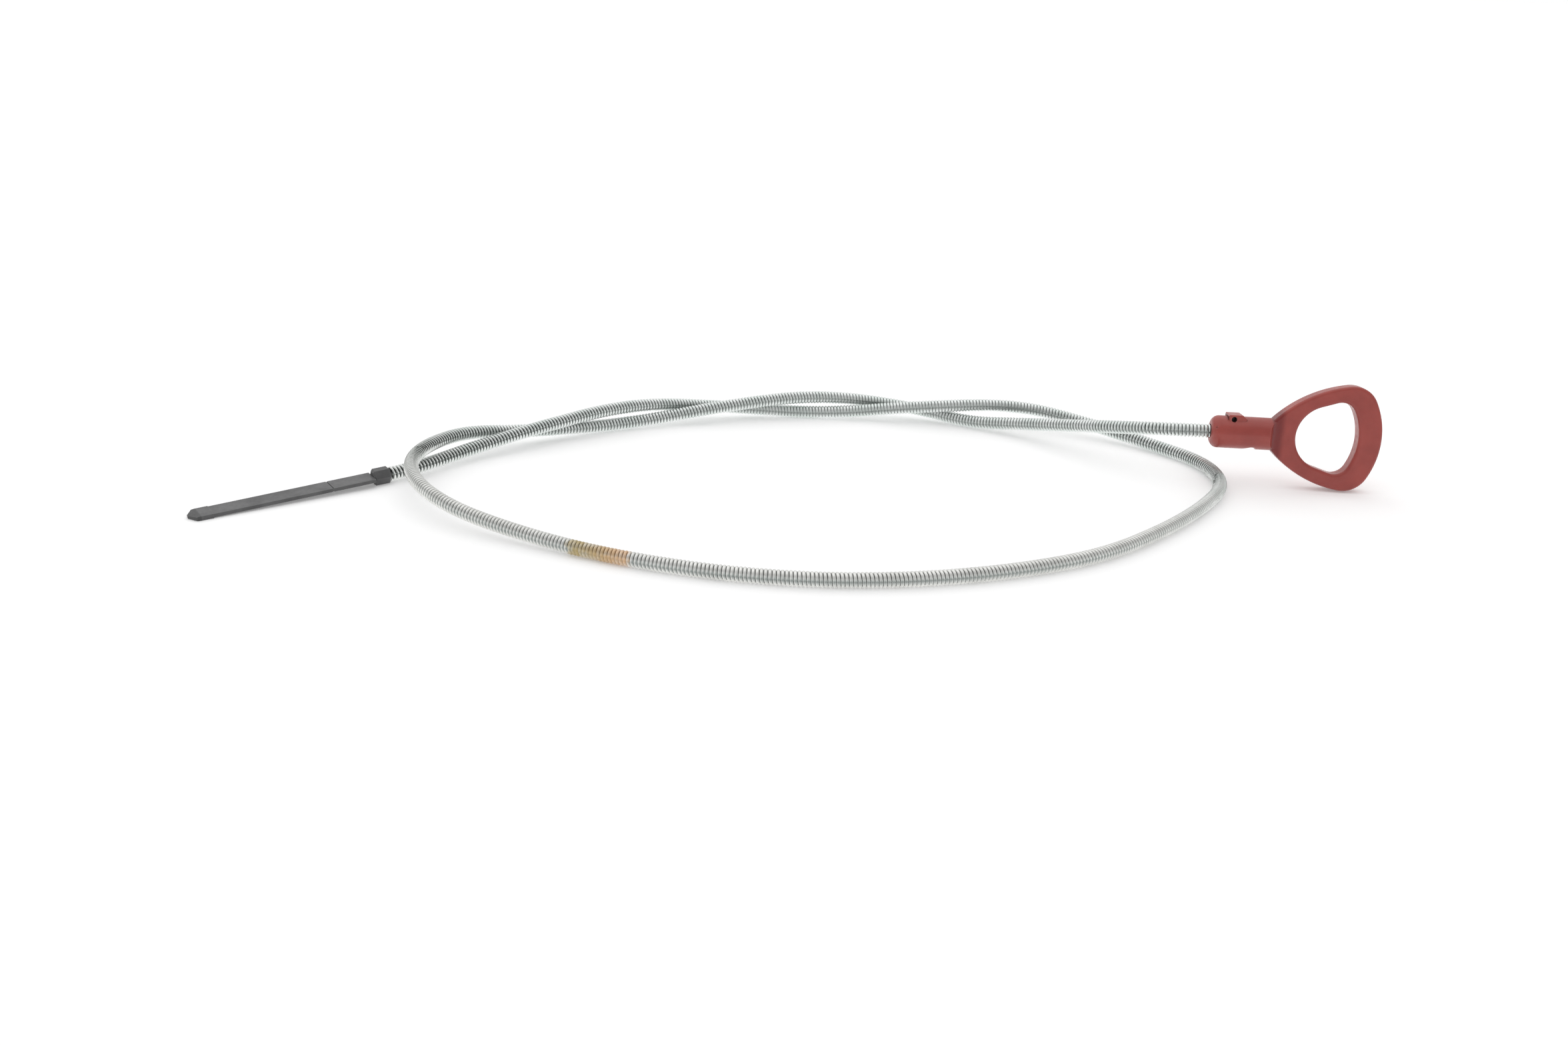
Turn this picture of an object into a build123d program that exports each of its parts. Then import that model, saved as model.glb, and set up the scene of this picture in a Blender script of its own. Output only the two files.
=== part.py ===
"""Flexible transmission dipstick, lying loosely coiled on a table.

Four pieces: a moulded handle with a finger loop, a close-wound spring stem, the pull wire
inside the spring, and a moulded measuring blade. Lengths are in millimetres and angles in
degrees. The table is the plane z = 0, +X runs from the blade to the handle, and +Y points
to the twisted pair of strands at the back.
"""

import os
from math import atan2, cos, pi, radians, sin, sqrt, tan

from build123d import *

# Stem: spring, pull wire and how they seat
stem_diameter = 5.2
spring_wire = 1.3
wire_clearance = 0.1
seat_clearance = 0.05
arc_share = 0.45

# Handle: where its collar ends on the table, which way it points, how far it leans back
handle_end = (147.1, 32.6)
handle_turn = 4.0
handle_lean = 8.0

# Handle collar and neck, measured from the collar's end
collar_diameter = 12.0
collar_end_round = 3.0
neck_length = 22.2
scoop_length = 3.4
scoop_lead = 1.4
handle_bore_depth = 12.0
handle_lead_out = 12.0

# Finger loop, measured from the neck's end and from the axis
loop_length = 39.5
loop_thickness = 6.4
loop_edge_round = 1.1
loop_root_step = 0.4
loop_side_reach = 15.7
loop_side_rise = 16.6
loop_corner_back = 7.4
loop_corner_rise = 20.0
loop_corner_round = 9.6

# Finger opening and the walls around it
opening_front = 8.5
opening_shoulder = 16.7
opening_corner_back = 5.1
opening_corner_round = 5.3
opening_edge_round = 1.1
loop_side_wall = 5.3
loop_end_wall = 8.4

# Lug with a cross hole, on top of the collar
lug_start = 5.7
lug_flat = 5.0
lug_slope = 1.7
lug_rise = 0.9
lug_width = 7.4
lug_edge_round = 0.5
lug_hole_radius = 1.0
lug_hole_inset = 1.9
lug_hole_drop = 1.6

# Detent notch under the collar and gate dimple on its front
notch_start = 11.4
notch_ramp = 3.2
notch_floor = 1.5
notch_step = 1.0
notch_depth = 1.2
dimple_radius = 0.9
dimple_start = 1.0
dimple_rise = 2.5

# Blade: where its collar ends on the table and which way it points
blade_end = (-151.7, 4.0)
blade_turn = 215.4

# Blade collar, strip and tip, measured from the collar's end
blade_length = 69.5
hex_sides = 6
hex_length = 6.2
hex_step = 0.1
hex_end_wall = 1.2
hex_chamfer = 0.6
blade_lead_out = 9.0
strip_width = 7.8
strip_thickness = 1.3
head_length = 7.6
head_step = 0.15
point_length = 2.2
point_slope = 3.4
point_edge = 0.9
mark_from_tip = 48.0
mark_width = 0.5
mark_depth = 0.2

# Stem route between handle and blade, chosen along the lie of the stem
route_points = [
    (115, 49.5, 14.4),
    (103, 62, 10.4),
    (84, 77, 5.4),
    (64, 86.5, 2.2),
    (45, 97, 4.2),
    (3, 95.5, 9.6),
    (-36.5, 83, 7),
    (-73, 71.5, 2),
    (-110.5, 50.5, 4.6),
    (-130, 36, 8.8),
    (-140, 18.5, 10),
    (-143, 0.5, 10),
    (-137.5, -17.5, 9.6),
    (-125.5, -31.5, 7.6),
    (-109.5, -41, 5),
    (-82, -54, 2.8),
    (-54.5, -65, 2.6),
    (-24, -72.5, 2.6),
    (7, -74.5, 2.6),
    (38, -70.5, 2.6),
    (68.5, -61, 2.6),
    (95.5, -47, 2.6),
    (120, -24, 2.6),
    (138, -2.5, 2.6),
    (152, 20.5, 2.6),
    (151, 45, 2.6),
    (134, 65.5, 2.6),
    (108, 82.5, 6.2),
    (81.5, 88.5, 10.1),
    (41.5, 89.5, 7.2),
    (3.5, 93, 1.8),
    (-37, 91, 4.4),
    (-73, 74, 9.8),
    (-106, 46.5, 7.5),
    (-125, 31.5, 4.8),
]

# Worked out from the sizes above
stem_radius = stem_diameter / 2
spring_bore = stem_radius - spring_wire
wire_radius = spring_bore - wire_clearance
seat_radius = stem_radius + seat_clearance
collar_radius = collar_diameter / 2
loop_root_half = collar_radius - loop_root_step
lug_height = collar_radius + lug_rise
opening_spread = loop_side_rise - loop_side_wall
opening_end = loop_length - loop_end_wall
opening_side = opening_end - opening_corner_back - opening_shoulder
wire_seat_radius = wire_radius + seat_clearance
hex_half = stem_radius + hex_step
blade_bore_depth = hex_length - hex_end_wall
head_width = strip_width + 2 * head_step
head_thickness = strip_thickness + 2 * head_step

# Flat outline of the finger loop, from the neck's end
with BuildSketch() as loop_outline:
    with BuildLine():
        far = loop_length - loop_corner_back
        Line((0, -loop_root_half), (0, loop_root_half))
        ThreePointArc((0, loop_root_half), (loop_side_reach, loop_side_rise), (far, loop_corner_rise))
        ThreePointArc((far, loop_corner_rise), (loop_length, 0), (far, -loop_corner_rise))
        ThreePointArc((far, -loop_corner_rise), (loop_side_reach, -loop_side_rise), (0, -loop_root_half))
    make_face()
    fillet(loop_outline.vertices().sort_by(Axis.X)[-2:], loop_corner_round)

# The handle stands on the lower side of its loop
turn = radians(handle_turn)
lean = radians(handle_lean)
loop_drop = -loop_outline.sketch.bounding_box().min.Y
handle_height = (
    loop_edge_round
    + (loop_drop - loop_edge_round) * cos(lean)
    + (loop_thickness / 2 - loop_edge_round) * sin(lean)
)
handle_at = Vector(*handle_end, handle_height)
handle_axis = Vector(cos(turn), -sin(turn), 0)
handle_face = Vector(-cos(lean) * sin(turn), -cos(lean) * cos(turn), sin(lean))
handle_plane = Plane(origin=handle_at, x_dir=handle_axis, z_dir=handle_face)
loop_plane = Plane(origin=handle_at + handle_axis * neck_length, x_dir=handle_axis, z_dir=handle_face)
collar_plane = Plane(origin=handle_at, x_dir=handle_face, z_dir=handle_axis)
scoop_at = loop_plane.origin - handle_axis * scoop_lead
neck_plan = Plane(origin=scoop_at, x_dir=handle_axis, z_dir=-handle_plane.y_dir)

# The blade lies on the far end of its collar and on the start of its point
heading = radians(blade_turn)
hex_foot = hex_length - hex_chamfer
point_foot = blade_length - point_slope
droop = atan2(hex_half - head_thickness / 2, point_foot - hex_foot)
blade_at = Vector(*blade_end, hex_half * cos(droop) + hex_foot * sin(droop))
blade_axis = Vector(cos(droop) * cos(heading), cos(droop) * sin(heading), -sin(droop))
blade_across = Vector(-sin(heading), cos(heading), 0)
blade_plan = Plane(origin=blade_at, x_dir=blade_axis, z_dir=blade_axis.cross(blade_across))
blade_side = Plane(origin=blade_at, x_dir=blade_axis, z_dir=-blade_across)
hex_plane = Plane(origin=blade_at, x_dir=blade_across, z_dir=blade_axis)


def corner_radius(before, corner, after):
    """Largest even bend at a corner of the stem's route."""
    first = corner - before
    second = after - corner
    shorter = min(first.length, second.length)
    return arc_share * shorter / tan(radians(first.get_angle(second)) / 2)


# Stem route: seated in the handle, out along its axis, round the coil, up to the blade
stem_route = [handle_at + handle_axis * handle_bore_depth]
stem_route += [handle_at - handle_axis * handle_lead_out]
stem_route += [Vector(*point) for point in route_points]
stem_route += [blade_at - blade_axis * blade_lead_out]
stem_route += [blade_at]
bend_radii = [corner_radius(*stem_route[i:i + 3]) for i in range(len(stem_route) - 2)]
wire_route = stem_route[:-1] + [blade_at + blade_axis * blade_bore_depth]

with BuildLine() as stem_path:
    FilletPolyline(*stem_route, radius=bend_radii)
with BuildLine() as wire_path:
    FilletPolyline(*wire_route, radius=bend_radii)
stem_start = Plane(origin=stem_route[0], z_dir=-handle_axis)

# Spring stem: the wound wire as a tube of its outer and inner size
with BuildPart() as stem_spring:
    with BuildSketch(stem_start):
        Circle(stem_radius)
        Circle(spring_bore, mode=Mode.SUBTRACT)
    sweep(path=stem_path.line)

# Pull wire inside the spring, from the handle's seat into the blade
with BuildPart() as core_wire:
    with BuildSketch(stem_start):
        Circle(wire_radius)
    sweep(path=wire_path.line)

# Lug on the handle's collar
with BuildPart() as lug:
    with BuildSketch(handle_plane):
        with BuildLine():
            Polyline(
                (lug_start, 0),
                (lug_start, lug_height),
                (lug_start + lug_flat, lug_height),
                (lug_start + lug_flat + lug_slope, collar_radius - lug_edge_round),
                (lug_start + lug_flat + lug_slope, 0),
                close=True,
            )
        make_face()
    extrude(amount=lug_width / 2, both=True)
    fillet(lug.edges(), lug_edge_round)

# Handle
with BuildPart() as handle:
    # Flat loop with rounded edges
    with BuildSketch(loop_plane):
        add(loop_outline.sketch)
    extrude(amount=loop_thickness / 2, both=True)
    rims = handle.faces().filter_by(loop_plane).edges().filter_by(GeomType.CIRCLE)
    fillet(rims, loop_edge_round)

    # Finger opening with rounded edges
    with BuildSketch(loop_plane):
        with BuildLine():
            low = (opening_shoulder, -opening_spread)
            high = (opening_shoulder, opening_spread)
            front = ThreePointArc(low, (opening_front, 0), high)
            upper = PolarLine(high, opening_side, direction=front % 1, length_mode=LengthMode.HORIZONTAL)
            lower = PolarLine(low, opening_side, direction=-(front % 0), length_mode=LengthMode.HORIZONTAL)
            ThreePointArc(upper @ 1, (opening_end, 0), lower @ 1)
        opening = make_face()
        fillet(opening.vertices().sort_by(Axis.X)[-2:], opening_corner_round)
    extrude(amount=loop_thickness / 2, both=True, mode=Mode.SUBTRACT)
    flat_faces = handle.faces().filter_by(loop_plane)
    rims = [edge for face in flat_faces for wire in face.inner_wires() for edge in wire.edges()]
    fillet(rims, opening_edge_round)

    # Round collar and neck, hollowed out down to the loop's flat sides
    with BuildSketch(collar_plane):
        Circle(collar_radius)
    extrude(amount=neck_length - scoop_lead + scoop_length)
    rim = handle.edges().filter_by(GeomType.CIRCLE).sort_by(Axis(handle_at, handle_axis))[0]
    fillet(rim, collar_end_round)
    with BuildSketch(neck_plan):
        with BuildLine():
            foot = (scoop_length, loop_thickness / 2)
            TangentArc(foot, (0, collar_radius), tangent=(-1, 0))
            Polyline((0, collar_radius), (0, collar_diameter), (scoop_length, collar_diameter), foot)
        make_face()
        mirror(about=Plane.XZ)
    extrude(amount=collar_diameter, both=True, mode=Mode.SUBTRACT)

    # Lug with its cross hole
    add(lug.part)
    with BuildSketch(handle_plane):
        with Locations((lug_start + lug_hole_inset, lug_height - lug_hole_drop)):
            Circle(lug_hole_radius)
    extrude(amount=collar_radius, both=True, mode=Mode.SUBTRACT)

    # Detent notch across the underside
    with BuildSketch(handle_plane):
        with BuildLine():
            floor_start = notch_start + notch_ramp
            floor_end = floor_start + notch_floor
            Polyline(
                (notch_start, -collar_radius),
                (floor_start, notch_depth - collar_radius),
                (floor_end, notch_depth - collar_radius),
                (floor_end + notch_step, -collar_radius),
                (floor_end + notch_step, -collar_diameter),
                (notch_start, -collar_diameter),
                close=True,
            )
        make_face()
    extrude(amount=collar_radius, both=True, mode=Mode.SUBTRACT)

    # Gate dimple on the front of the collar
    dimple_out = sqrt(collar_radius**2 - dimple_rise**2)
    with Locations(handle_plane.from_local_coords((dimple_start, dimple_rise, dimple_out))):
        Sphere(dimple_radius, mode=Mode.SUBTRACT)

    # Blind bore that holds the stem
    with BuildSketch(collar_plane):
        Circle(seat_radius)
    extrude(amount=handle_bore_depth, mode=Mode.SUBTRACT)

# Measuring blade
with BuildPart() as blade:
    # Six-sided collar
    with BuildSketch(hex_plane):
        RegularPolygon(hex_half, hex_sides, major_radius=False)
    extrude(amount=hex_length)
    chamfer(blade.faces().filter_by(hex_plane).edges(), hex_chamfer)

    # Flat strip
    with BuildSketch(hex_plane.offset(hex_length)):
        Rectangle(strip_width, strip_thickness)
    extrude(amount=blade_length - head_length - hex_length)

    # Tip, wider and thicker than the strip, coming to a point
    with BuildSketch(blade_plan):
        with BuildLine():
            Polyline(
                (blade_length - head_length, -head_width / 2),
                (blade_length - point_length, -head_width / 2),
                (blade_length, -point_edge / 2),
                (blade_length, point_edge / 2),
                (blade_length - point_length, head_width / 2),
                (blade_length - head_length, head_width / 2),
                close=True,
            )
        make_face()
    extrude(amount=head_thickness / 2, both=True)
    with BuildSketch(blade_side):
        with BuildLine():
            Polyline(
                (blade_length - point_slope, head_thickness / 2),
                (blade_length, point_edge / 2),
                (blade_length, head_thickness),
                (blade_length - point_slope, head_thickness),
                close=True,
            )
        make_face()
        mirror(about=Plane.XZ)
    extrude(amount=head_width, both=True, mode=Mode.SUBTRACT)

    # Level mark across both faces of the strip
    with BuildSketch(blade_side):
        with Locations((blade_length - mark_from_tip, strip_thickness / 2)):
            Rectangle(mark_width, 2 * mark_depth)
        mirror(about=Plane.XZ)
    extrude(amount=strip_width, both=True, mode=Mode.SUBTRACT)

    # Blind bore that holds the pull wire
    with BuildSketch(hex_plane):
        Circle(wire_seat_radius)
    extrude(amount=blade_bore_depth, mode=Mode.SUBTRACT)

print("bend radii", [round(radius, 1) for radius in bend_radii])
stem_length = stem_path.wires()[0].length
ring_area = pi * (stem_radius**2 - spring_bore**2)
print("stem length", round(stem_length, 1))
volume_ratio = stem_spring.part.volume / (ring_area * stem_length)
print("stem volume over section times length", round(volume_ratio, 5))

os.makedirs("parts", exist_ok=True)
pieces = {"handle": handle, "stem_spring": stem_spring, "core_wire": core_wire, "blade": blade}
for name, piece in pieces.items():
    piece.part.label = name
    export_step(piece.part, f"parts/{name}.step")
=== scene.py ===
from math import cos, pi, radians, sin

import bmesh
import bpy
from mathutils import Matrix, Vector


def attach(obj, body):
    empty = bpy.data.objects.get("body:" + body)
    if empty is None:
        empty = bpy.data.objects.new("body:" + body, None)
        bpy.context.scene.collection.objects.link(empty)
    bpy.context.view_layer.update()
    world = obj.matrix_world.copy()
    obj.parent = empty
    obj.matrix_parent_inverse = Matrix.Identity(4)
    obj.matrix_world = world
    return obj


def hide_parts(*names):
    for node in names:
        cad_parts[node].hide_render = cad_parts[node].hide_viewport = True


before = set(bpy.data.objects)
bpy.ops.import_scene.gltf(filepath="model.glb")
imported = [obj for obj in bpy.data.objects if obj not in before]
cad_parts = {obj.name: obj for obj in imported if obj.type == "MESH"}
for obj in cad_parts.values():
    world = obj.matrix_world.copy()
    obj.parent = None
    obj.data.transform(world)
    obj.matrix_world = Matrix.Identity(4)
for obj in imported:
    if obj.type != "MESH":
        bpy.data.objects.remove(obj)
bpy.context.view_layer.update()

# Stem, in metres: the spring's outer size, its wire, and the wire inside it
stem_diameter = 0.0052
spring_wire = 0.0013
core_diameter = 0.0024

# Points in each turn of the spring, sides of a wire, and points between two points of the route
coil_steps = 14
wire_sides = 8
route_steps = 24

# The stem's route from its seat in the handle to the blade, and where the core ends in the blade
stem_route = [
    (0.1591, 0.0318, 0.0197),
    (0.1351, 0.0334, 0.0197),
    (0.1150, 0.0495, 0.0144),
    (0.1030, 0.0620, 0.0104),
    (0.0840, 0.0770, 0.0054),
    (0.0640, 0.0865, 0.0022),
    (0.0450, 0.0970, 0.0042),
    (0.0030, 0.0955, 0.0096),
    (-0.0365, 0.0830, 0.0070),
    (-0.0730, 0.0715, 0.0020),
    (-0.1105, 0.0505, 0.0046),
    (-0.1300, 0.0360, 0.0088),
    (-0.1400, 0.0185, 0.0100),
    (-0.1430, 0.0005, 0.0100),
    (-0.1375, -0.0175, 0.0096),
    (-0.1255, -0.0315, 0.0076),
    (-0.1095, -0.0410, 0.0050),
    (-0.0820, -0.0540, 0.0028),
    (-0.0545, -0.0650, 0.0026),
    (-0.0240, -0.0725, 0.0026),
    (0.0070, -0.0745, 0.0026),
    (0.0380, -0.0705, 0.0026),
    (0.0685, -0.0610, 0.0026),
    (0.0955, -0.0470, 0.0026),
    (0.1200, -0.0240, 0.0026),
    (0.1380, -0.0025, 0.0026),
    (0.1520, 0.0205, 0.0026),
    (0.1510, 0.0450, 0.0026),
    (0.1340, 0.0655, 0.0026),
    (0.1080, 0.0825, 0.0062),
    (0.0815, 0.0885, 0.0101),
    (0.0415, 0.0895, 0.0072),
    (0.0035, 0.0930, 0.0018),
    (-0.0370, 0.0910, 0.0044),
    (-0.0730, 0.0740, 0.0098),
    (-0.1060, 0.0465, 0.0075),
    (-0.1250, 0.0315, 0.0048),
    (-0.1444, 0.0092, 0.0032),
    (-0.1517, 0.0040, 0.0029),
]
core_end = (-0.1558, 0.0011, 0.0027)

# The camera, from the photograph's vanishing lines
camera_place = (-0.010, -0.4755, 0.1867)
camera_pitch = radians(67.6)
camera_roll = radians(1.86)
camera_lens = 32.94
camera_sensor = 36.0
camera_nearest = 0.01

# Overhead light: the way it comes from, its strength and how wide it looks
overhead_from = (-0.15, 0.25, 1.0)
overhead_strength = 1.0
overhead_spread = radians(90)

# Floor and room: the floor's size and finish, and how much both glow to the eye and in reflections
floor_size = 6.0
floor_roughness = 0.9
floor_tone = (0.86, 0.86, 0.86, 1)
floor_glow = 0.20
floor_mirror_glow = 0.65
room_mirror_glow = 0.7

# Brightness of the room: from the front to the back, from low to high, and at the horizon
front_to_back = (-0.6, 0.4)
front_glow = 0.62
back_glow = 1.0
low_to_high = (0.15, 0.75)
high_glow = 0.65
horizon_reach = 0.25
horizon_glow = 1.0
above_horizon_glow = 0.6

# Where the amber stain runs, along the front run of the stem
stain_start = (-0.0765, -0.0568, 0.0026)
stain_end = (-0.0568, -0.0638, 0.0026)
stain_fade = 0.003

# Finish of the spring: darker and paler plating, neutral at the front and greenish at the back
front_plating = ((0.62, 0.62, 0.60, 1), (0.70, 0.70, 0.68, 1))
back_plating = ((0.63, 0.67, 0.65, 1), (0.72, 0.74, 0.73, 1))
plating_change = (-0.04, 0.05)
plating_scale = 90.0
# Painted shade: the wire is darkened toward this tone where it runs down into the groove between turns
groove_shade_tone = (0.24, 0.26, 0.25, 1)
groove_shade_range = (0.45, 0.85)
polish_scale = 700.0
polish_range = (0.34, 0.50)

# Finish of the stain: olive at one end and orange at the other, patchy and less metallic
stain_tones = ((0.42, 0.32, 0.13, 1), (0.62, 0.38, 0.20, 1))
stain_edge_scale = 260.0
stain_patch_scale = 330.0
stain_cover = (0.45, 0.85)
stain_metallic = 0.55

# Finish of the core wire
core_tones = ((0.20, 0.20, 0.20, 1), (0.34, 0.34, 0.33, 1))
core_scale = 400.0
core_roughness = 0.4

# Finish of the two mouldings: body tones, a painted highlight on the edges, painted shade in the hollows
# and gloss. Each has one band of painted shade, given by where its part starts, which way it runs, and the
# band's rise and fall along it
grain_scale = 900.0
grain_strength = 0.12
grain_depth = 0.0001
broad_share = 0.12
hollow_roughness = 0.9
red_moulding = {
    "dark": (0.285, 0.040, 0.031, 1),
    "pale": (0.345, 0.053, 0.041, 1),
    # Painted highlight: paler colour laid along the rounded edges
    "edge": (0.520, 0.200, 0.170, 1),
    "edge_share": 0.25,
    "edge_radius": 0.0009,
    # Painted shade: the colour that hollows are darkened toward
    "hollow_shade": (0.060, 0.004, 0.003, 1),
    "recess_reach": 0.0035,
    "roughness": 0.36,
    "specular": 0.5,
    # Painted shade: a dark band where the collar runs out into the loop
    "band": (0.140, 0.000, 0.000, 1),
    "band_base": (0.1471, 0.0326, 0.0197),
    "band_way": (0.9976, -0.0698, 0.0),
    "band_rise": (0.0214, 0.0222),
    "band_fall": (0.0244, 0.0270),
    "shade_band_share": 0.80,
}
grey_moulding = {
    "dark": (0.085, 0.085, 0.086, 1),
    "pale": (0.130, 0.130, 0.131, 1),
    # Painted highlight: paler colour laid along the rounded edges
    "edge": (0.300, 0.300, 0.300, 1),
    "edge_share": 0.35,
    "edge_radius": 0.0004,
    # Painted shade: the colour that hollows are darkened toward
    "hollow_shade": (0.050, 0.050, 0.050, 1),
    "recess_reach": 0.0005,
    "roughness": 0.42,
    "specular": 0.25,
    # Painted shade: the blade is darkened toward its tip
    "band": (0.050, 0.050, 0.050, 1),
    "band_base": (-0.1517, 0.0040, 0.0029),
    "band_way": (-0.8151, -0.5793, 0.0),
    "band_rise": (0.0656, 0.0662),
    "band_fall": (0.0800, 0.0900),
    "shade_band_share": 0.70,
}


# Small helpers for meshes and shader nodes
def add_object(name, data):
    """Object at the origin with this mesh, curve, lamp or camera."""
    made = bpy.data.objects.new(name, data)
    bpy.context.scene.collection.objects.link(made)
    return made


def new_material(name):
    """Empty material with its Principled shader."""
    material = bpy.data.materials.new(name)
    material.use_nodes = True
    return material, material.node_tree, material.node_tree.nodes["Principled BSDF"]


def add_node(tree, kind, inputs=None, **settings):
    """Shader node with its settings; inputs are values or sockets, by name or place."""
    node = tree.nodes.new(kind)
    for key, value in settings.items():
        setattr(node, key, value)
    for key, value in (inputs or {}).items():
        if isinstance(value, bpy.types.NodeSocket):
            tree.links.new(value, node.inputs[key])
        else:
            node.inputs[key].default_value = value
    return node


def noise(tree, place, scale, detail=3.0, roughness=0.55):
    """Factor of a noise texture on these coordinates."""
    values = {"Vector": place, "Scale": scale, "Detail": detail, "Roughness": roughness}
    return add_node(tree, "ShaderNodeTexNoise", values).outputs["Fac"]


def fade(tree, value, low, high, to_low=0.0, to_high=1.0):
    """Smooth step of a value from one range to another."""
    values = {"Value": value, "From Min": low, "From Max": high, "To Min": to_low, "To Max": to_high}
    node = add_node(tree, "ShaderNodeMapRange", values, interpolation_type="SMOOTHSTEP")
    return node.outputs["Result"]


def combine(tree, operation, first, second):
    """Sum, product or other plain arithmetic of two values."""
    return add_node(tree, "ShaderNodeMath", {0: first, 1: second}, operation=operation).outputs[0]


def dot(tree, first, second):
    """How far two directions agree, or how far one vector reaches along another."""
    values = {0: first, 1: second}
    return add_node(tree, "ShaderNodeVectorMath", values, operation="DOT_PRODUCT").outputs["Value"]


def blend_colours(tree, factor, first, second):
    """First colour where the factor is 0, second where it is 1."""
    node = add_node(tree, "ShaderNodeMix", data_type="RGBA")
    for socket, value in ((node.inputs[0], factor), (node.inputs[6], first), (node.inputs[7], second)):
        if isinstance(value, bpy.types.NodeSocket):
            tree.links.new(value, socket)
        else:
            socket.default_value = value
    return node.outputs[2]


# Camera
def set_camera():
    lens = bpy.data.cameras.new("camera")
    lens.sensor_width = camera_sensor
    lens.lens = camera_lens
    lens.clip_start = camera_nearest
    camera = add_object("camera", lens)
    turn = Matrix.Rotation(camera_pitch, 4, "X") @ Matrix.Rotation(camera_roll, 4, "Z")
    camera.matrix_world = Matrix.Translation(camera_place) @ turn
    bpy.context.scene.camera = camera


# Stem
def spline_points(route):
    """Points along the smooth line that the route's points control."""
    curve = bpy.data.curves.new("stem_route", "CURVE")
    curve.dimensions = "3D"
    spline = curve.splines.new("NURBS")
    spline.points.add(len(route) - 1)
    for point, place in zip(spline.points, route):
        point.co = (*place, 1.0)
    spline.order_u = 3
    spline.use_endpoint_u = True
    spline.resolution_u = route_steps
    holder = bpy.data.objects.new("stem_route", curve)
    mesh = bpy.data.meshes.new_from_object(holder)
    points = [vertex.co.copy() for vertex in mesh.vertices]
    bpy.data.objects.remove(holder)
    return points


def evenly(points, step):
    """The same line with its points an even step apart."""
    spaced = [points[0]]
    left = step
    for start, end in zip(points, points[1:]):
        run = (end - start).length
        done = 0.0
        while run - done >= left:
            done += left
            spaced.append(start.lerp(end, done / run))
            left = step
        left -= run - done
    return spaced


def carried_frames(points):
    """A sideways direction at each point, carried along the line without twisting."""
    tangents = [(after - before).normalized() for before, after in zip(points, points[1:])]
    tangents.append(tangents[-1])
    side = tangents[0].orthogonal().normalized()
    frames = []
    for index, tangent in enumerate(tangents):
        if index:
            side = tangents[index - 1].rotation_difference(tangent) @ side
            side = (side - tangent * side.dot(tangent)).normalized()
        frames.append((side, tangent.cross(side)))
    return frames


def wire_mesh(name, points, diameter, sides):
    """Round wire along these points, closed at both ends."""
    curve = bpy.data.curves.new(name, "CURVE")
    curve.dimensions = "3D"
    curve.twist_mode = "TANGENT"
    curve.bevel_depth = diameter / 2
    curve.bevel_resolution = sides // 2 - 2
    curve.use_fill_caps = True
    spline = curve.splines.new("POLY")
    spline.points.add(len(points) - 1)
    spline.points.foreach_set("co", [value for point in points for value in (*point, 1.0)])
    holder = bpy.data.objects.new(name, curve)
    mesh = bpy.data.meshes.new_from_object(holder)
    mesh.name = name
    bpy.data.objects.remove(holder)
    return mesh


def make_spring(line):
    """Close-wound wire along the stem's line, each turn touching the next."""
    centres = evenly(line, spring_wire / coil_steps)
    coil_radius = (stem_diameter - spring_wire) / 2
    winding = []
    for index, (centre, (side, up)) in enumerate(zip(centres, carried_frames(centres))):
        angle = 2 * pi * index / coil_steps
        winding.append(centre + coil_radius * (cos(angle) * side + sin(angle) * up))
    mesh = wire_mesh("spring", winding, spring_wire, wire_sides)
    add_stem_marks(mesh, centres)
    return add_object("spring", mesh), centres


def add_stem_marks(mesh, centres):
    """Stores on each point how far out of the groove it is and how far along the stem."""
    crest = mesh.attributes.new("crest", "FLOAT", "POINT")
    along = mesh.attributes.new("along", "FLOAT", "POINT")
    inner = stem_diameter / 2 - spring_wire
    for index, vertex in enumerate(mesh.vertices):
        ring = min(index // wire_sides, len(centres) - 1)
        out = (vertex.co - centres[ring]).length
        crest.data[index].value = (out - inner) / spring_wire
        along.data[index].value = ring * spring_wire / coil_steps


def make_core(line):
    """Pull wire inside the spring."""
    return add_object("core", wire_mesh("core", line, core_diameter, wire_sides))


def nearest_along(centres, place):
    """Distance along the stem of the point nearest to a place."""
    index = min(range(len(centres)), key=lambda i: (centres[i] - Vector(place)).length)
    return index * spring_wire / coil_steps


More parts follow.
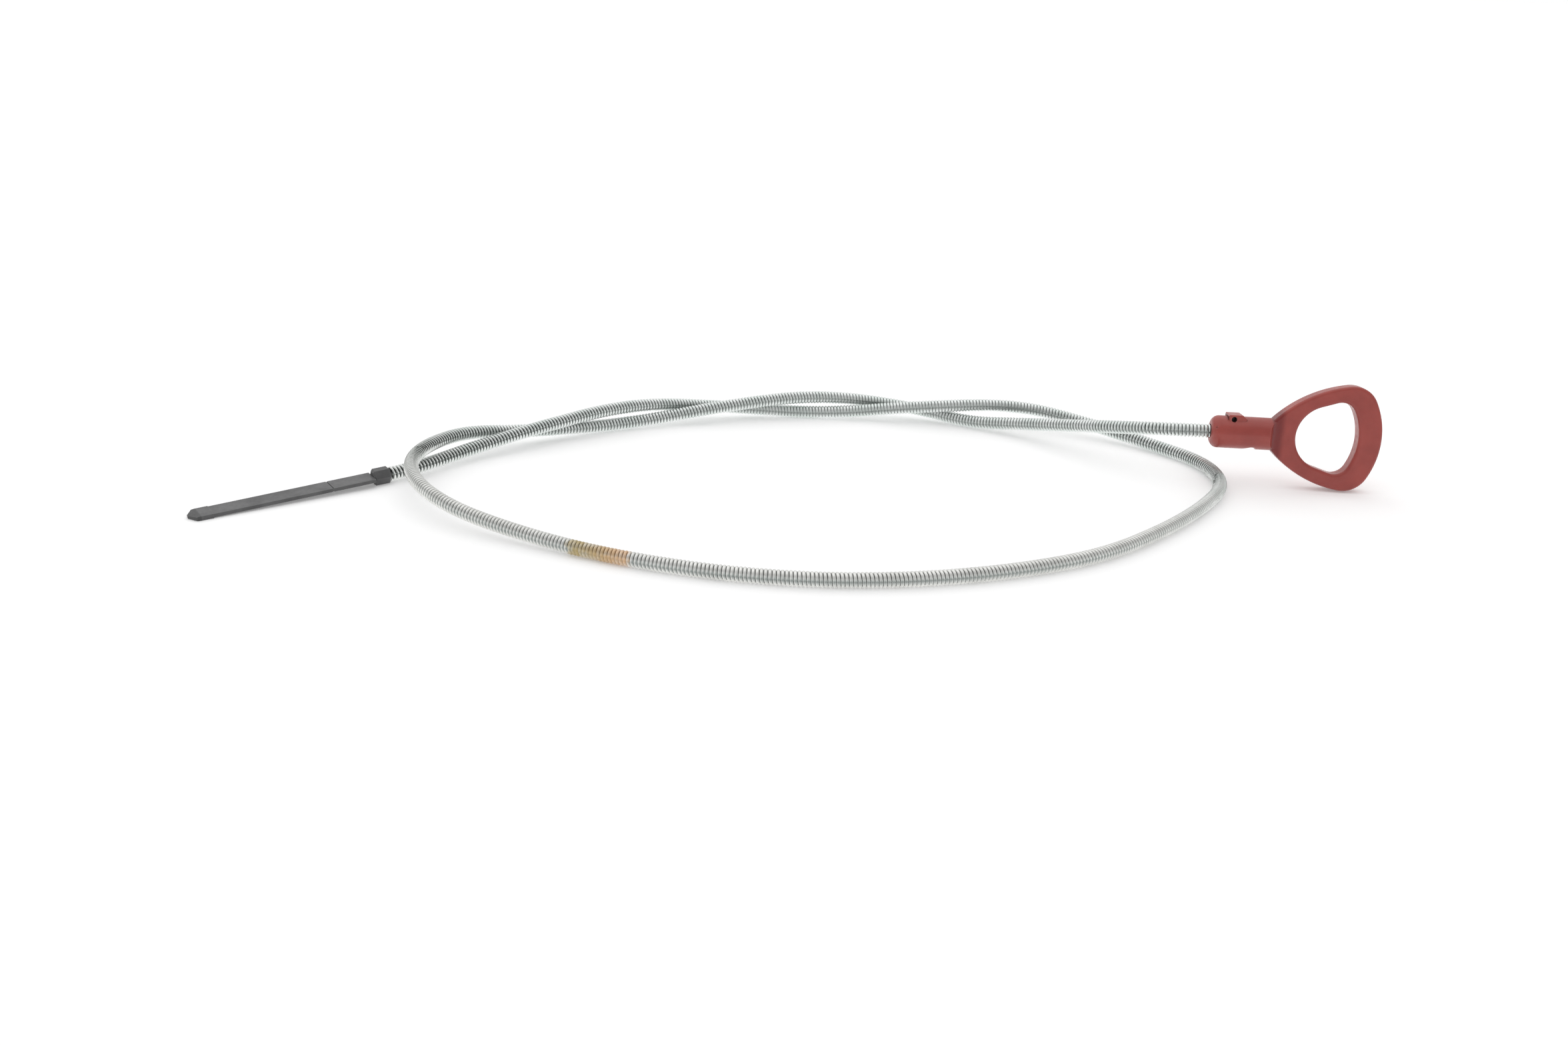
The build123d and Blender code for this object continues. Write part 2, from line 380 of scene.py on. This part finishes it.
# Materials
def spring_material(stain_from, stain_to):
    """Dull zinc plating with painted shade in the grooves, and an amber stain on the front run."""
    material, tree, shader = new_material("zinc_plated_spring")
    place = add_node(tree, "ShaderNodeTexCoord").outputs["Object"]
    crest = add_node(tree, "ShaderNodeAttribute", attribute_name="crest").outputs["Fac"]
    along = add_node(tree, "ShaderNodeAttribute", attribute_name="along").outputs["Fac"]

    mottle = fade(tree, noise(tree, place, plating_scale), 0.35, 0.65)
    neutral = blend_colours(tree, mottle, *front_plating)
    greenish = blend_colours(tree, mottle, *back_plating)
    depth = add_node(tree, "ShaderNodeSeparateXYZ", {0: place}).outputs["Y"]
    plating = blend_colours(tree, fade(tree, depth, *plating_change), neutral, greenish)
    # Painted shade in the grooves between turns
    groove = fade(tree, crest, *groove_shade_range, 1.0, 0.0)
    metal = blend_colours(tree, groove, plating, groove_shade_tone)

    wander = combine(tree, "MULTIPLY", noise(tree, place, stain_edge_scale), 2 * stain_fade)
    ragged = combine(tree, "ADD", along, wander)
    rise = fade(tree, ragged, stain_from, stain_from + stain_fade)
    fall = fade(tree, ragged, stain_to, stain_to + stain_fade, 1.0, 0.0)
    patchy = fade(tree, noise(tree, place, stain_patch_scale), 0.30, 0.62, *stain_cover)
    stained = combine(tree, "MULTIPLY", combine(tree, "MULTIPLY", rise, fall), patchy)
    across = fade(tree, along, stain_from, stain_to)
    film = blend_colours(tree, across, *stain_tones)
    colour = blend_colours(tree, stained, metal, film)

    rough = fade(tree, noise(tree, place, polish_scale, 2.0), 0.2, 0.8, *polish_range)
    tree.links.new(colour, shader.inputs["Base Color"])
    tree.links.new(rough, shader.inputs["Roughness"])
    dulled = fade(tree, stained, 0.0, 1.0, 1.0, stain_metallic)
    tree.links.new(dulled, shader.inputs["Metallic"])
    return material


def core_material():
    """Plain drawn steel."""
    material, tree, shader = new_material("drawn_core_wire")
    place = add_node(tree, "ShaderNodeTexCoord").outputs["Object"]
    tone = blend_colours(tree, noise(tree, place, core_scale), *core_tones)
    tree.links.new(tone, shader.inputs["Base Color"])
    shader.inputs["Metallic"].default_value = 1.0
    shader.inputs["Roughness"].default_value = core_roughness
    return material


def edge_group():
    """Mask of a moulding's outer edges, from how its normal turns nearby, for the painted highlight along
    them.
    """
    tree = bpy.data.node_groups.new("moulded_edges", "ShaderNodeTree")
    tree.interface.new_socket("Radius", in_out="INPUT", socket_type="NodeSocketFloat")
    tree.interface.new_socket("Edge", in_out="OUTPUT", socket_type="NodeSocketFloat")
    given = tree.nodes.new("NodeGroupInput")
    result = tree.nodes.new("NodeGroupOutput")
    soft = add_node(tree, "ShaderNodeBevel", {"Radius": given.outputs["Radius"]}, samples=6)
    true_normal = add_node(tree, "ShaderNodeNewGeometry").outputs["Normal"]
    facing = dot(tree, soft.outputs[0], true_normal)
    tree.links.new(fade(tree, facing, 0.80, 0.99, 1.0, 0.0), result.inputs["Edge"])
    return tree


def recess_shade_group():
    """Mask of hollows, from how closely a moulding's own walls stand around a point, for the painted shade
    laid in them.
    """
    tree = bpy.data.node_groups.new("moulded_recess_shade", "ShaderNodeTree")
    tree.interface.new_socket("Reach", in_out="INPUT", socket_type="NodeSocketFloat")
    tree.interface.new_socket("Recess", in_out="OUTPUT", socket_type="NodeSocketFloat")
    given = tree.nodes.new("NodeGroupInput")
    result = tree.nodes.new("NodeGroupOutput")
    walls = add_node(tree, "ShaderNodeAmbientOcclusion", {"Distance": given.outputs["Reach"]}, samples=8)
    walls.only_local = True
    tree.links.new(fade(tree, walls.outputs["AO"], 0.40, 0.98, 1.0, 0.0), result.inputs["Recess"])
    return tree


def grain_group():
    """Fine unevenness of a satin moulding: a tone and a height."""
    tree = bpy.data.node_groups.new("moulded_grain", "ShaderNodeTree")
    tree.interface.new_socket("Scale", in_out="INPUT", socket_type="NodeSocketFloat")
    tree.interface.new_socket("Tone", in_out="OUTPUT", socket_type="NodeSocketFloat")
    tree.interface.new_socket("Height", in_out="OUTPUT", socket_type="NodeSocketFloat")
    given = tree.nodes.new("NodeGroupInput")
    result = tree.nodes.new("NodeGroupOutput")
    place = add_node(tree, "ShaderNodeTexCoord").outputs["Object"]
    broad = noise(tree, place, combine(tree, "MULTIPLY", given.outputs["Scale"], broad_share))
    fine = noise(tree, place, given.outputs["Scale"], 2.0)
    tree.links.new(fade(tree, broad, 0.3, 0.7), result.inputs["Tone"])
    tree.links.new(fine, result.inputs["Height"])
    return tree


def shade_band_group():
    """Mask of a band of painted shade across a part, from how far along the part a point lies."""
    tree = bpy.data.node_groups.new("moulded_shade_band", "ShaderNodeTree")
    tree.interface.new_socket("Base", in_out="INPUT", socket_type="NodeSocketVector")
    tree.interface.new_socket("Way", in_out="INPUT", socket_type="NodeSocketVector")
    for name in ("Rise From", "Rise To", "Fall From", "Fall To"):
        tree.interface.new_socket(name, in_out="INPUT", socket_type="NodeSocketFloat")
    tree.interface.new_socket("Band", in_out="OUTPUT", socket_type="NodeSocketFloat")
    given = tree.nodes.new("NodeGroupInput").outputs
    result = tree.nodes.new("NodeGroupOutput")
    place = add_node(tree, "ShaderNodeTexCoord").outputs["Object"]
    offset = add_node(tree, "ShaderNodeVectorMath", {0: place, 1: given["Base"]}, operation="SUBTRACT")
    along = dot(tree, offset.outputs[0], given["Way"])
    rise = fade(tree, along, given["Rise From"], given["Rise To"])
    fall = fade(tree, along, given["Fall From"], given["Fall To"], 1.0, 0.0)
    tree.links.new(combine(tree, "MULTIPLY", rise, fall), result.inputs["Band"])
    return tree


def moulded_material(name, groups, look):
    """Satin moulding: broad changes of tone, fine grain, a painted highlight on the edges, painted shade
    in the hollows and one band of painted shade.
    """
    material, tree, shader = new_material(name)
    edges = add_node(tree, "ShaderNodeGroup", node_tree=groups["edges"])
    edges.inputs["Radius"].default_value = look["edge_radius"]
    recess = add_node(tree, "ShaderNodeGroup", node_tree=groups["recess"])
    recess.inputs["Reach"].default_value = look["recess_reach"]
    grain = add_node(tree, "ShaderNodeGroup", node_tree=groups["grain"])
    grain.inputs["Scale"].default_value = grain_scale
    band = add_node(tree, "ShaderNodeGroup", node_tree=groups["band"])
    band.inputs["Base"].default_value = look["band_base"]
    band.inputs["Way"].default_value = look["band_way"]
    band.inputs["Rise From"].default_value, band.inputs["Rise To"].default_value = look["band_rise"]
    band.inputs["Fall From"].default_value, band.inputs["Fall To"].default_value = look["band_fall"]

    body = blend_colours(tree, grain.outputs["Tone"], look["dark"], look["pale"])
    # Painted highlight: the edges are lightened toward the edge colour
    edge_share = combine(tree, "MULTIPLY", edges.outputs["Edge"], look["edge_share"])
    edged = blend_colours(tree, edge_share, body, look["edge"])
    # Painted shade: one band laid darker across the part
    shade_band_share = combine(tree, "MULTIPLY", band.outputs["Band"], look["shade_band_share"])
    shade_banded = blend_colours(tree, shade_band_share, edged, look["band"])
    # Painted shade in the hollows, from the occlusion mask
    hollow_shade = blend_colours(tree, recess.outputs["Recess"], shade_banded, look["hollow_shade"])
    tree.links.new(hollow_shade, shader.inputs["Base Color"])
    shader.inputs["Specular IOR Level"].default_value = look["specular"]

    glossy, dull = look["roughness"] - 0.06, look["roughness"] + 0.08
    satin = fade(tree, grain.outputs["Height"], 0.2, 0.8, glossy, dull)
    matt = combine(tree, "MULTIPLY", recess.outputs["Recess"], hollow_roughness)
    tree.links.new(combine(tree, "MAXIMUM", satin, matt), shader.inputs["Roughness"])
    bump = add_node(tree, "ShaderNodeBump", {"Height": grain.outputs["Height"]})
    bump.inputs["Strength"].default_value = grain_strength
    bump.inputs["Distance"].default_value = grain_depth
    tree.links.new(bump.outputs["Normal"], shader.inputs["Normal"])
    return material


def dress_node(name, material):
    """Gives a solid of the frame its finish."""
    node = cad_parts[name]
    node.data.materials.clear()
    node.data.materials.append(material)


# Floor, backdrop and light
def white_ground(tree, lit):
    """Adds a plain glow that only the eye and reflections see, so the ground reads as white."""
    rays = add_node(tree, "ShaderNodeLightPath").outputs
    mirrored = combine(tree, "ADD", rays["Is Glossy Ray"], rays["Is Transmission Ray"])
    to_eye = combine(tree, "MULTIPLY", rays["Is Camera Ray"], floor_glow)
    to_mirror = combine(tree, "MULTIPLY", mirrored, floor_mirror_glow)
    glow = add_node(tree, "ShaderNodeEmission", {"Strength": combine(tree, "ADD", to_eye, to_mirror)})
    return add_node(tree, "ShaderNodeAddShader", {0: lit, 1: glow.outputs[0]}).outputs[0]


def make_floor():
    shape = bmesh.new()
    bmesh.ops.create_grid(shape, x_segments=1, y_segments=1, size=floor_size)
    mesh = bpy.data.meshes.new("floor")
    shape.to_mesh(mesh)
    shape.free()
    floor = add_object("floor", mesh)
    material, tree, shader = new_material("pale_floor")
    shader.inputs["Base Color"].default_value = floor_tone
    shader.inputs["Roughness"].default_value = floor_roughness
    surface = white_ground(tree, shader.outputs[0])
    tree.links.new(surface, tree.nodes["Material Output"].inputs["Surface"])
    mesh.materials.append(material)


def make_world():
    """White to the eye all round; for the object a pale back and horizon, and a dimmer front and top."""
    world = bpy.data.worlds.new("studio")
    world.use_nodes = True
    bpy.context.scene.world = world
    tree = world.node_tree
    place = add_node(tree, "ShaderNodeTexCoord").outputs["Generated"]
    ways = add_node(tree, "ShaderNodeSeparateXYZ", {0: place}).outputs
    around = fade(tree, ways["Y"], *front_to_back, front_glow, back_glow)
    upward = fade(tree, ways["Z"], *low_to_high, back_glow, high_glow)
    horizon = fade(tree, ways["Z"], 0.0, horizon_reach, horizon_glow, above_horizon_glow)
    room = combine(tree, "MAXIMUM", combine(tree, "MINIMUM", around, upward), horizon)
    rays = add_node(tree, "ShaderNodeLightPath").outputs
    mirrored = combine(tree, "ADD", rays["Is Glossy Ray"], rays["Is Transmission Ray"])
    to_mirror = combine(tree, "MULTIPLY", mirrored, room_mirror_glow)
    seen = combine(tree, "ADD", rays["Is Camera Ray"], to_mirror)
    tree.links.new(combine(tree, "MAXIMUM", room, seen), tree.nodes["Background"].inputs["Strength"])
    tree.nodes["Background"].inputs["Color"].default_value = (1, 1, 1, 1)


def add_overhead_light():
    """Wide soft light from above and a little behind, even over the whole floor."""
    lamp = bpy.data.lights.new("overhead_light", "SUN")
    lamp.energy = overhead_strength
    lamp.angle = overhead_spread
    light = add_object("overhead_light", lamp)
    light.matrix_world = Vector(overhead_from).to_track_quat("Z", "Y").to_matrix().to_4x4()


bpy.context.scene.view_settings.view_transform = "Standard"
set_camera()
line = spline_points(stem_route)
spring, centres = make_spring(line)
core = make_core(line + [Vector(core_end)])

stain = [nearest_along(centres, place) for place in (stain_start, stain_end)]
spring.data.materials.append(spring_material(min(stain), max(stain)))
core.data.materials.append(core_material())
groups = {"edges": edge_group(), "recess": recess_shade_group(), "grain": grain_group(), "band": shade_band_group()}
dress_node("handle", moulded_material("brick_red_moulding", groups, red_moulding))
dress_node("blade", moulded_material("dark_grey_moulding", groups, grey_moulding))

for piece, node, slot in ((spring, "stem_spring", "plated_spring"), (core, "core_wire", "core_steel")):
    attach(piece, "root")
    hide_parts(node)

make_floor()
make_world()
add_overhead_light()
